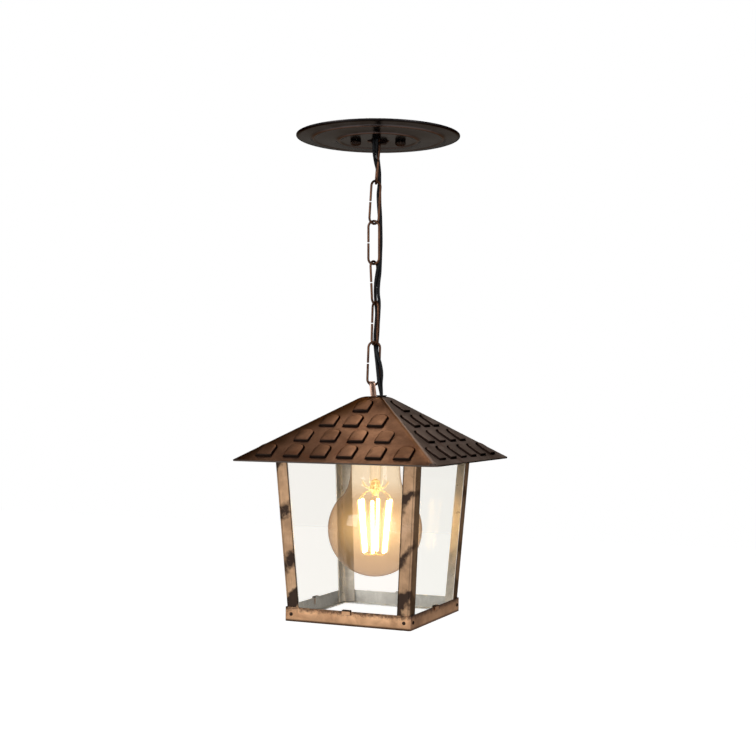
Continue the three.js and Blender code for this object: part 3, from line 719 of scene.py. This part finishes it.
def thumb_nut():
    """A knurled nut with a domed end and a shallow recess in it, from radius, height and knurl depth."""
    lobes = 10
    profile = [(1.2, -7.15, 0), (1.35, -7.55, 0), (2.3, -7.6, 0), (3.3, -7.2, 0.3), (3.95, -6.5, 1),
               (4.2, -5.9, 1), (4.2, -4.6, 1), (3.95, -4.3, 0.8), (2.3, -4.3, 0)]
    rings = []
    for radius, z, knurl in profile:
        ring = []
        for x, y in unit_circle(80):
            wave = 0.5 + 0.5 * math.cos(lobes * math.atan2(y, x))
            reach = radius - 0.55 * knurl * wave ** 2
            ring.append((reach * x, reach * y, z))
        rings.append(ring)
    return between_rings(rings)


# Chain, strap and leads

WIRE = 0.9
LINK_BEND = 4.4
LINK_HANG = WIRE + 0.15  # from a contact to the wire's centre
BUTT_GAP = 1.3
CHAIN_TOP = -4.8
CHAIN_BOTTOM = -189.2
LINKS = 6
CONTACT_X = (1, -1.2, -2.8, -2.6, -1, -1.6, -2.4)
LINK_TWIST = (95, 38, -22, 55, -61, 3)  # degrees about each link's own length


def contact(i):
    """Where a link hangs on the piece above it, or the strap on the last link."""
    return Vector((CONTACT_X[i], 0, CHAIN_TOP + (CHAIN_BOTTOM - CHAIN_TOP) * i / LINKS))


def build_chain(look):
    """Open links: each starts at a gap in its left side and goes round both bends."""
    for i in range(LINKS):
        top = contact(i)
        bottom = contact(i + 1)
        straight = (top - bottom).length / 2 + LINK_HANG - LINK_BEND
        path = [Vector((-LINK_BEND, 0, BUTT_GAP / 2))]
        for start, centre in ((math.pi, straight), (0, -straight)):
            for k in range(17):
                angle = start - math.pi * k / 16
                path.append(Vector((LINK_BEND * math.cos(angle), 0, centre + LINK_BEND * math.sin(angle))))
        path.append(Vector((-LINK_BEND, 0, -BUTT_GAP / 2)))
        tilt = math.atan2(top.x - bottom.x, top.z - bottom.z)
        middle = (top + bottom) / 2
        place = (HANGER @ placed(*middle) @ Matrix.Rotation(tilt, 4, "Y")
                 @ Matrix.Rotation(math.radians(LINK_TWIST[i]), 4, "Z"))
        make_piece(f"link_wire_{i + 1}", swept(path, WIRE, 16), look["chain"], f"link_{i + 1}",
                   place, [f"chain_link_{i + 1}"])


STRAP = {"inner": 1.9, "thick": 1.0, "width": 4.5, "foot": 4.2, "under": -9.95, "aside": -0.5, "lean": 0.13}


def build_strap(look):
    """The hanging band: over the last link's wire, down both sides and out under the roof."""
    inner = STRAP["inner"]
    outer = inner + STRAP["thick"]
    under = STRAP["under"]
    toe = inner + STRAP["foot"]
    right = [(outer, under), (toe, under), (toe, under - STRAP["thick"]), (inner, under - STRAP["thick"])]
    left = [(-y, z) for y, z in reversed(right)]
    turns = [math.pi * (1 - k / 12) for k in range(13)]
    over = [(outer * math.cos(a), outer * math.sin(a)) for a in turns]
    inside = [(inner * math.cos(a), inner * math.sin(a)) for a in reversed(turns)]
    outline = [(0, y, z) for y, z in [*left[1:], *over, *right, *inside, left[0]]]
    points, faces = ribbon(outline, STRAP["width"])
    leaning = [(p.x + STRAP["aside"] - STRAP["lean"] * p.z, p.y, p.z) for p in points]
    make_piece("strap_band", (leaning, faces), look["strap"], "lantern",
               HANGER @ placed(CONTACT_X[-1], 0, CHAIN_BOTTOM - LINK_HANG), ["hanger_strap"], sharp=50)


LEAD_ROUTES = {
    "lead_live": [
        (-2.9, -8.7, 4.2), (-2.9, -6, 3.6), (-2.9, -3.9, 1.6), (-2.9, -2.9, -1.4), (-3.1, -2.6, -4.8),
        (-3.1, -1.5, -12.5), (-1.9, -0.3, -20.2), (0.1, 1.7, -27.8), (1, 4.4, -35.5), (0.3, 5.4, -43.2),
        (0.5, 5.3, -50.9), (1.1, 5.3, -58.6), (1.7, 4.7, -66.3), (2.2, 3, -73.9), (2.5, 1.6, -81.6),
        (2.2, 1.2, -89.3), (1.2, 1.1, -97), (-0.1, 1, -104.7), (-1.1, 1.7, -112.4), (-1.3, 3.3, -120),
        (-0.8, 4.5, -127.7), (-0.2, 4.3, -135.4), (-0.6, 4.4, -143.1), (-1.2, 4.9, -150.8),
        (-1.2, 4.4, -158.5), (-0.5, 2, -166.2), (0.4, -0.6, -173.8), (1.2, -2.2, -181.5),
        (2.1, -3, -189.2), (3.2, -2.9, -194), (3.9, -2.4, -197.6), (3.9, -2.3, -200.2), (3.1, -1.9, -201.8),
        (2, -1.5, -202.8),
    ],
    "lead_neutral": [
        (-0.4, -8.7, 1.9), (-0.5, -6.8, 1.4), (-0.6, -5.3, -0.2), (-0.8, -4.4, -2.5), (-1.1, -4, -4.8),
        (-0.7, -2.3, -12.5), (0.5, 0.6, -20.2), (1.4, 4.1, -27.8), (1.5, 7, -35.5), (1.6, 7.6, -43.2),
        (1.8, 7.5, -50.9), (2.3, 7.6, -58.6), (2.6, 7, -66.3), (2.8, 5.5, -73.9), (2.9, 4.2, -81.6),
        (2.7, 3.6, -89.3), (2.5, 3.2, -97), (2.2, 2, -104.7), (1.4, 1, -112.4), (1.1, 0.3, -120),
        (1.9, -0.1, -127.7), (1.7, 0.9, -135.4), (1.3, 2.6, -143.1), (1, 3.6, -150.8), (0.5, 2.6, -158.5),
        (0.6, -0.9, -166.2), (3, -2.6, -173.8), (4.2, -2.3, -181.5), (3.8, -1.2, -189.2),
        (4, -0.2, -194), (4.1, 0.3, -197.6), (4, 0.3, -200.2), (3.2, 0.6, -201.8), (2, 1, -202.8),
    ],
}
LEAD_RADIUS = 1.2


def build_leads(look):
    """Each lead is cut at the middle of every link, and each stretch runs across one joint."""
    cuts = [(contact(i).z + contact(i + 1).z) / 2 for i in range(LINKS)]
    for name, route in LEAD_ROUTES.items():
        line = catmull_rom(route, 6)
        start = 0
        for i in range(LINKS + 1):
            end = len(line) - 1
            if i < LINKS:
                end = min(range(start + 1, len(line)), key=lambda k: abs(line[k].z - cuts[i]))
            stretch = line[start:end + 1]
            tube = swept(stretch, LEAD_RADIUS, rounded_ends=False)
            piece = make_piece(f"{name}_{i + 1}", tube, look["lead"], None, HANGER, [name],
                               sharp=60)
            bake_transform(piece)
            start = end
    ring = filleted([(2.6, -200.1), (3.3, -200.1), (3.3, -198.6), (4, -198.6), (4, -197.9), (2.6, -197.9)],
                    0.4, 3, closed=True)
    make_piece("grommet", lathe(ring, 40), look["lead"], "lantern",
               HANGER @ placed(4.2, -1), ["lead_grommet"])


# Roof

ROOF = {"half_eave": 80.0, "half_top": 8.0, "top": -198.8, "eave": -245.8, "sheet": 0.9, "snip": 4.4}
TILE = {"width": 12.5, "height": 15.5, "rise": 1.5, "top_rise": 1.1, "aside": -1.2}
# rings of a tile from its foot inwards: inset, share of the rise, height above that, and painted shade on
# its walls
TILE_RINGS = (
    (-0.7, 0, -0.4, 0), (-0.7, 0, 0.02, 0.1), (-0.4, 0, 0.04, 0.6), (-0.1, 0, 0.05, 1), (0.25, 0.55, 0, 1),
    (0.5, 0.9, 0, 0.8), (0.8, 1, 0, 0.1), (1.3, 1, 0.03, 0), (2.8, 1, 0.12, 0),
)
TILE_ROWS = (1, 3, 4, 6)
TILE_PITCH = (0, 19.3, 21.6, 21.6)
FIRST_ROW = 13.6
ROW_STEP = 19.8
SLOPE = math.atan2(ROOF["top"] - ROOF["eave"], ROOF["half_eave"] - ROOF["half_top"])


def roof_ring(half, z, rounding, per_side=20, per_corner=8):
    """A square outline with rounded corners, from the front side's left end round by the right."""
    rounding = min(rounding, half * 0.8)
    ring = []
    for side in range(4):
        turn = quarter(side)
        for k in range(per_side):
            across = (half - rounding) * (2 * k / per_side - 1)
            ring.append(turn @ Vector((across, -half, z)))
        for k in range(per_corner):
            angle = -math.pi / 2 + math.pi / 2 * k / per_corner
            corner = Vector((half - rounding, -half + rounding, z))
            ring.append(turn @ (corner + rounding * Vector((math.cos(angle), math.sin(angle), 0))))
    return ring


def roof_row(half, z, drop=0.0):
    """A ring of the roof at a height, dropped straight down; its hips open out towards the eave."""
    share = (ROOF["top"] - z) / (ROOF["top"] - ROOF["eave"])
    return [clip_corner(p) for p in roof_ring(half, z - drop, 1.2 + 3.0 * share)]


def roof_sheet():
    """The folded sheet: flat top, soft hips, one clipped corner and a rolled edge."""
    r = ROOF
    outline = filleted([(0.6, r["top"]), (r["half_top"], r["top"]), (r["half_eave"], r["eave"])], 3.5, 6)
    steps = 34
    bend = Vector(outline[-2])
    foot = Vector(outline[-1])
    profile = outline[:-1] + [tuple(bend.lerp(foot, k / steps)) for k in range(1, steps + 1)]
    thick = r["sheet"] / math.cos(SLOPE)
    upper = [roof_row(half, z) for half, z in profile]
    edge = roof_row(r["half_eave"] - 0.1, r["eave"], thick * 0.55)
    under = [roof_row(max(half - 0.25, 0.35), z, thick) for half, z in reversed(profile)]
    return between_rings([*upper, edge, *under])


def clip_corner(point):
    """The corner between the front and right sides is snipped off square."""
    diagonal = Vector((1, -1, 0)).normalized()
    beyond = point.dot(diagonal) - (ROOF["half_eave"] * math.sqrt(2) - ROOF["snip"])
    return point - diagonal * beyond if beyond > 0 else point


def tile_outline(inset):
    """A tongue's outline: square below with eased corners, half an ellipse above."""
    half = TILE["width"] / 2 - inset
    low = -TILE["height"] / 2 + inset
    shoulder = TILE["height"] / 2 - TILE["width"] * 0.42
    high = TILE["width"] * 0.42 - inset
    corner = max(0.7 - inset * 0.4, 0.25)
    right = [(half - corner, low), (half - corner * 0.3, low + corner * 0.3), (half, low + corner)]
    right += [(half, low + (shoulder - low) * k / 3) for k in (1, 2)]
    left = [(-x, y) for x, y in reversed(right)]
    arch = [(half * math.cos(math.pi * k / 16), shoulder + high * math.sin(math.pi * k / 16))
            for k in range(17)]
    return right + arch + left


def tile_shape():
    """A pressed tongue, highest at its lower lip and fading upwards, and its points' painted shade."""
    rings = []
    shade_and_grime = []
    for inset, lift, extra, wall_shade in TILE_RINGS:
        ring = []
        for x, y in tile_outline(inset):
            share = y / TILE["height"] + 0.5
            rise = TILE["rise"] + (TILE["top_rise"] - TILE["rise"]) * share
            ring.append((x, y, rise * lift + extra))
        rings.append(ring)
        shade_and_grime += [wall_shade] * len(ring)
    return between_rings(rings), shade_and_grime


def build_roof(look):
    """One sheet and its rows of tiles, each tile a little off its place."""
    r = ROOF
    shapes = [roof_sheet()]
    shade_and_grime = [0.0] * len(shapes[0][0])
    tile, tile_wall_shade = tile_shape()
    for side in range(4):
        turn = quarter(side)
        for row, count in enumerate(TILE_ROWS):
            down = FIRST_ROW + row * ROW_STEP
            for k in range(count):
                x = (k - (count - 1) / 2) * TILE_PITCH[row] + rng.uniform(-0.5, 0.5) + TILE["aside"]
                y = -(r["half_top"] + down * math.cos(SLOPE))
                z = r["top"] - (down + rng.uniform(-0.3, 0.3)) * math.sin(SLOPE)
                tip = Matrix.Rotation(math.radians(rng.uniform(-1.5, 1.5)), 4, "Z")
                lie = Matrix.Translation((x, y, z)) @ Matrix.Rotation(SLOPE, 4, "X")
                shapes.append(moved(tile, turn @ lie @ tip))
                shade_and_grime += tile_wall_shade
    make_piece("tiled_roof", joined(shapes), look["roof"], "lantern", nodes=["roof"],
               sharp=32, shade_and_grime=shade_and_grime)


# Body

BODY = {"half_high": 56.3, "high": -245.7, "half_low": 49.1, "low": -354.6}
LEAN = (BODY["half_high"] - BODY["half_low"]) / (BODY["high"] - BODY["low"])
POST = {"flange": 10.0, "sheet": 1.0, "top": -232.8, "bottom": -363.9}
BASE = {"half": 50.1, "inside": 49.2, "ledge": 45.1, "low": -365.2, "high": -354.6, "floor": -364.3}
RAIL = {"top": -233.6, "low": -240.0, "inset": 1.3, "sheet": 1.0, "ledge": 9.0}
RIVET = {"head": 1.35, "rise": 0.8, "across": 45.0, "z": -359.8}


def post_half(z):
    """Half the body's width at a height: the posts lean outwards on their way up."""
    return BODY["half_high"] + (z - BODY["high"]) * LEAN


def post_shade_and_grime(half, x, y):
    """1 along a post's two free edges, some just beside its fold as a painted shade line, 0 elsewhere."""
    depth = min(half + x, half + y)
    across = max(half + x, half + y)
    if depth > 0.5:
        return 0.0
    if across > POST["flange"] - 0.6:
        return 1.0
    return 0.55 if 1.2 < across < 1.9 else 0.0


def build_posts(look):
    """Angle posts, their section redrawn at each height as they lean."""
    for corner, word in enumerate(CORNERS):
        rings = []
        shade_and_grime = []
        for k in range(9):
            z = POST["bottom"] + (POST["top"] - POST["bottom"]) * k / 8
            half = post_half(z)
            free = half - POST["flange"]
            inside = half - POST["sheet"]
            outline = [(-half, -half), (-free, -half), (-free, -inside), (-inside, -inside),
                       (-inside, -free), (-half, -free)]
            rounded = filleted(outline, 0.32, 3, closed=True)
            fold = filleted([outline[-1], outline[0], outline[1]], 1.5, 6)[1:-1]
            near = half - 2.1
            far = free + 1.3
            ring = [(-half, -far), (-half, -near), *fold, (-near, -half), (-far, -half), *rounded[4:]]
            rings.append([(x, y, z) for x, y in ring])
            shade_and_grime += [post_shade_and_grime(half, x, y) for x, y in ring]
        make_piece(f"post_{word}", between_rings(rings), look["frame"], "lantern",
                   quarter(corner), [f"corner_post_{word}"], shade_and_grime=shade_and_grime)


def square_ring(profile):
    """A body of square rings from a closed profile of half side and height."""
    rings = [[tuple(p) for p in roof_ring(half, z, 1.4, 6, 6)] for half, z in profile]
    return between_rings(rings, closed_row=True)


def build_base(look):
    """The base band with its inward ledge, and the rail that joins the posts under the roof."""
    b = BASE
    band = filleted([(b["ledge"], b["low"]), (b["half"], b["low"]), (b["half"], b["high"]),
                     (b["inside"], b["high"]), (b["inside"], b["floor"]), (b["ledge"], b["floor"])],
                    0.35, 3, closed=True)
    make_piece("base_band", square_ring(band), look["base"], "lantern",
               nodes=["base_frame"])
    r = RAIL
    foot = post_half(r["low"]) - r["inset"]
    reach = post_half(r["top"]) - r["inset"]
    under = r["top"] - r["sheet"]
    rail = filleted([(foot - r["sheet"], r["low"]), (foot, r["low"]), (reach, r["top"]),
                     (reach - r["ledge"], r["top"]), (reach - r["ledge"], under),
                     (reach - r["sheet"], under)], 0.3, 3, closed=True)
    make_piece("top_rail", square_ring(rail), look["frame"], "lantern",
               nodes=["top_frame"])


def build_rivets(look):
    """Two domed heads on each side of the base band."""
    head = RIVET["head"]
    dome = [(head * math.sin(math.pi * k / 16), RIVET["rise"] * math.cos(math.pi * k / 16))
            for k in range(9)] + [(head, -0.15), (0, -0.15)]
    for side in range(4):
        for end, number in ((-1, 2 * side + 1), (1, 2 * side + 2)):
            place = (quarter(side) @ placed(RIVET["across"] * end, -BASE["half"], RIVET["z"])
                     @ Matrix.Rotation(math.pi / 2, 4, "X"))
            make_piece(f"rivet_{number}", lathe(dome, 24), look["nut"], "lantern", place,
                       [f"base_rivet_{number}"])


# Bulb

NECK_TOP = -241.1
BULB_CENTRE = -299.5
BULB_RADIUS = 35.8


def bulb_outline():
    """From the cap down: the neck's curve, then an arc to the foot, on the axis."""
    neck = [(13.2, NECK_TOP), (15, -242.2), (17.6, -244.6), (18.5, -248), (18.9, -255), (19.6, -262),
            (21.4, -268.4), (24.6, -274)]
    start = math.radians(40)
    ball = []
    for k in range(24):
        angle = start - (start + math.pi / 2) * k / 24
        ball.append((BULB_RADIUS * math.cos(angle), BULB_CENTRE + BULB_RADIUS * math.sin(angle)))
    smooth = catmull_rom([(r, 0, z) for r, z in neck + ball[:1]], 5)
    return [(p.x, p.z) for p in smooth[:-1]] + ball + [(0, BULB_CENTRE - BULB_RADIUS)]


def build_bulb(look):
    """The envelope is one skin: the glass is too thin to show a second."""
    make_piece("bulb_envelope", lathe([*bulb_outline(), (0, NECK_TOP)], 112), look["amber"], "bulb",
               nodes=["bulb_glass"], sharp=60)


def build_stem(look):
    """The glass stem, the lit pinch at its foot and a wire hook on each side of the pinch."""
    stem = filleted([(0, -268), (3, -268), (4.2, -262), (4.4, -250), (6, -244.6), (10.6, -241.2),
                     (0, -241.2)], 1.6, 5)
    make_piece("stem_glass_body", lathe(stem, 48), look["stem"], "bulb", nodes=["bulb_stem"])
    pinch = filleted([(0, -274.5), (2.2, -273.5), (4.3, -269), (3.4, -263), (0, -261)], 1.2, 5)
    make_piece("stem_pinch", lathe(pinch, 40), look["pinch"], "bulb")
    hooks = []
    for side in (0, math.pi):
        route = [(10, -263.4), (8, -266.4), (5.4, -268.2), (3, -267.4)]
        hook = [outward(HANG_TURN + side, reach, z) for reach, z in route]
        hooks.append(swept(catmull_rom(hook, 5), 0.42, 10))
    make_piece("getter_hooks", joined(hooks), look["wire"], "bulb")


FILAMENT = {"count": 6, "first": math.radians(44), "top_radius": 12.6, "bottom_radius": 8.6,
            "top": -277.5, "bottom": -317.0, "stick": 1.15, "coat": 2.7, "wire": 0.28}


def outward(angle, reach, z):
    return Vector((reach * math.cos(angle), reach * math.sin(angle), z))


def build_filaments(look):
    """Lit sticks in clear coats, the wires that carry them from the stem, and the rod between."""
    f = FILAMENT
    wires = []
    for i in range(f["count"]):
        angle = f["first"] + i * 2 * math.pi / f["count"]
        top = outward(angle, f["top_radius"], f["top"])
        bottom = outward(angle, f["bottom_radius"], f["bottom"])
        along = (bottom - top).normalized()
        length = (bottom - top).length
        stick = swept([top + along * t for t in (0, 10, 20, 30, length)], f["stick"])
        make_piece(f"lit_stick_{i + 1}", stick, look["lit"], "bulb", nodes=[f"filament_{i + 1}"])
        coat = swept([top + along * t for t in (1, 4, 12, 20, 28, 36, length - 1)], f["coat"], 24)
        make_piece(f"silicone_coat_{i + 1}", coat, look["coat"], "bulb")
        hub_top = Vector((0, 0, -269.6))
        hub_bottom = Vector((0, 0, f["bottom"] - 1.2))
        shoulder = hub_top.lerp(top, 0.55) + Vector((0, 0, 3))
        knee = hub_bottom.lerp(bottom, 0.6) - Vector((0, 0, 1.6))
        for route in ([hub_top, shoulder, top - along * 1.4, top + along * 0.6],
                      [bottom - along * 0.6, bottom + along * 1.2, knee, hub_bottom]):
            wires.append(swept(catmull_rom(route, 5), f["wire"], 8))
    make_piece("support_wires", joined(wires), look["wire"], "bulb")
    rod = swept([(0, 0, z) for z in (-268.4, -285, -302, -318)], 0.9)
    make_piece("centre_rod", rod, look["stem"], "bulb", nodes=["filament_rod"])


# Materials on the CAD nodes that stay

def dress_nodes(look):
    """Materials for the CAD nodes that nothing replaces, and eased edges on all but the panes."""
    dressed = {
        "nut": ["mounting_bracket"], "nylon": ["terminal_block"], "ceramic": ["lampholder_insert"],
        "steel": ["canopy_stud_left", "canopy_stud_right", "lampholder_bracket", "lampholder_nipple"],
        "brass": ["nipple_nut", "lampholder_contact", "lampholder_sleeve", "bulb_cap", "bulb_tip"],
        "bakelite": ["lampholder_body", "bulb_insulator"],
        "clear": [f"glass_pane_{side}" for side in SIDES],
        "clip": [f"glass_clip_{side}" for side in SIDES],
    }
    for key, names in dressed.items():
        for name in names:
            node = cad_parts[name]
            node.data.materials.clear()
            node.data.materials.append(look[key])
            if key != "clear":
                bevel = node.modifiers.new("eased edges", "BEVEL")
                bevel.width = 0.2 * MM
                bevel.segments = 2
                bevel.limit_method = "ANGLE"
                bevel.angle_limit = math.radians(35)


def make_looks():
    return {
        "roof": roof_copper(), "frame": frame_copper(), "strap": brushed_copper(), "bronze": bronze(),
        "base": base_copper("base_copper", edges=True), "clip": base_copper("clip_copper", crest=True),
        "chain": worn_metal("chain_copper", (0.045, 0.022, 0.014), (0.125, 0.062, 0.037), (0.28, 0.38), 70),
        "nut": worn_metal("dark_metal", (0.012, 0.009, 0.008), (0.045, 0.028, 0.02), (0.3, 0.45), 300),
        "steel": worn_metal("zinc_plate", ZINC_DARK, ZINC_LIGHT, (0.3, 0.45), 200),
        # the support wires and hooks glow: painted light for the light they catch from the lit sticks
        "wire": worn_metal("support_metal", (0.55, 0.42, 0.28), (0.95, 0.8, 0.6), (0.2, 0.3), 400,
                           glow=(0.75, 0.50, 0.20)),
        "brass": worn_metal("brass_metal", (0.38, 0.26, 0.10), (0.66, 0.48, 0.22), (0.22, 0.38), 220),
        "lead": plastic("lead_pvc", (0.006, 0.0065, 0.008), 0.42, 200, shine=0.12),
        "nylon": plastic("terminal_nylon", (0.80, 0.78, 0.72), 0.45, 150, 0.06),
        "ceramic": plastic("porcelain", (0.82, 0.80, 0.74), 0.25, 120, 0.06),
        "bakelite": plastic("bakelite", (0.022, 0.017, 0.014), 0.3, 150),
        "clear": thin_glass("pane_glass", (0.994, 0.984, 0.972), (0.84, 0.88, 0.86), shine=0.16,
                            rough=0.03),
        "amber": amber_glass(), "pinch": gold_pinch(),
        "stem": thin_glass("stem_glass", (0.985, 0.965, 0.93), (0.87, 0.79, 0.67), shine=1.0, rough=0.03,
                           haze=(0.055, 0.036, 0.014)),
        "lit": glowing("lit_phosphor", (1.0, 0.80, 0.44), 16.0),
        "coat": glow_coat(),
    }


add_camera()
add_world()
add_floor()
add_area_light("key_left", (-1.1, -1.5, 0.55), (0, 0, -0.28), (1.0, 1.2), 26, (1.0, 0.97, 0.93))
add_area_light("fill_right", (1.7, -0.7, 0.1), (0, 0, -0.28), (0.6, 1.2), 8)
add_area_light("top_back", (-0.3, 0.9, 1.4), (0, 0, -0.25), (1.0, 0.6), 12)
bpy.context.scene.view_settings.view_transform = "Standard"

looks = make_looks()
build_canopy(looks)
build_chain(looks)
build_strap(looks)
build_leads(looks)
build_roof(looks)
build_posts(looks)
build_base(looks)
build_rivets(looks)
build_bulb(looks)
build_stem(looks)
build_filaments(looks)
dress_nodes(looks)
